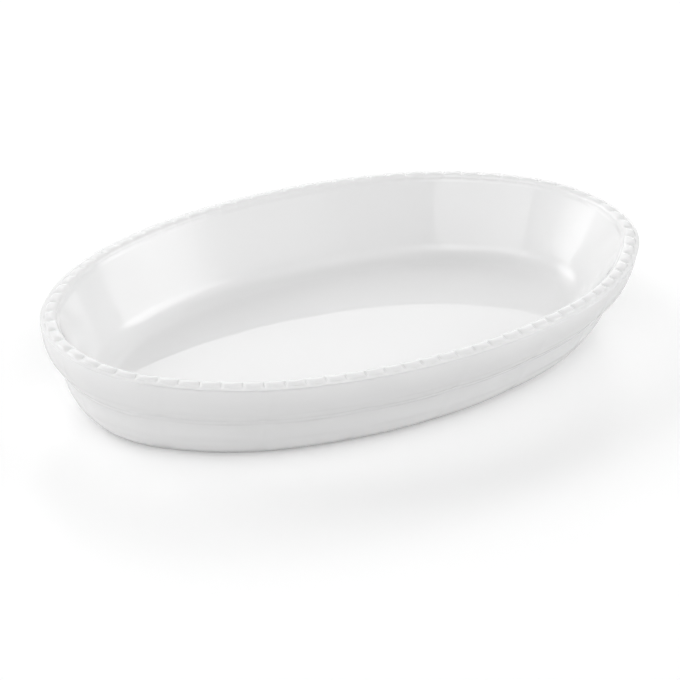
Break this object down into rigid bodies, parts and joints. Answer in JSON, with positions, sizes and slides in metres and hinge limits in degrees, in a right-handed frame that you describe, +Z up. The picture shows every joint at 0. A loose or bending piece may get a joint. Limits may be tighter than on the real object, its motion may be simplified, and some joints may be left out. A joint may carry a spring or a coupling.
{
  "type": "oval gratin dish",
  "caption": "Low oval glazed porcelain baking dish: flat floor on a foot ring, flared wall in two convex bands, and a beaded rim on a thin ledge.",
  "frame": {"origin": "middle of the footprint, on the surface that the dish stands on", "axes": "+X along the length of the oval, +Y across it, +Z up out of the open dish"},
  "size_m": [0.34, 0.2, 0.05],
  "materials": {
    "glaze": "smooth white gloss glaze over white porcelain"
  },
  "bodies": {
    "root": {"dish_body": "glaze"}
  },
  "joints": []
}
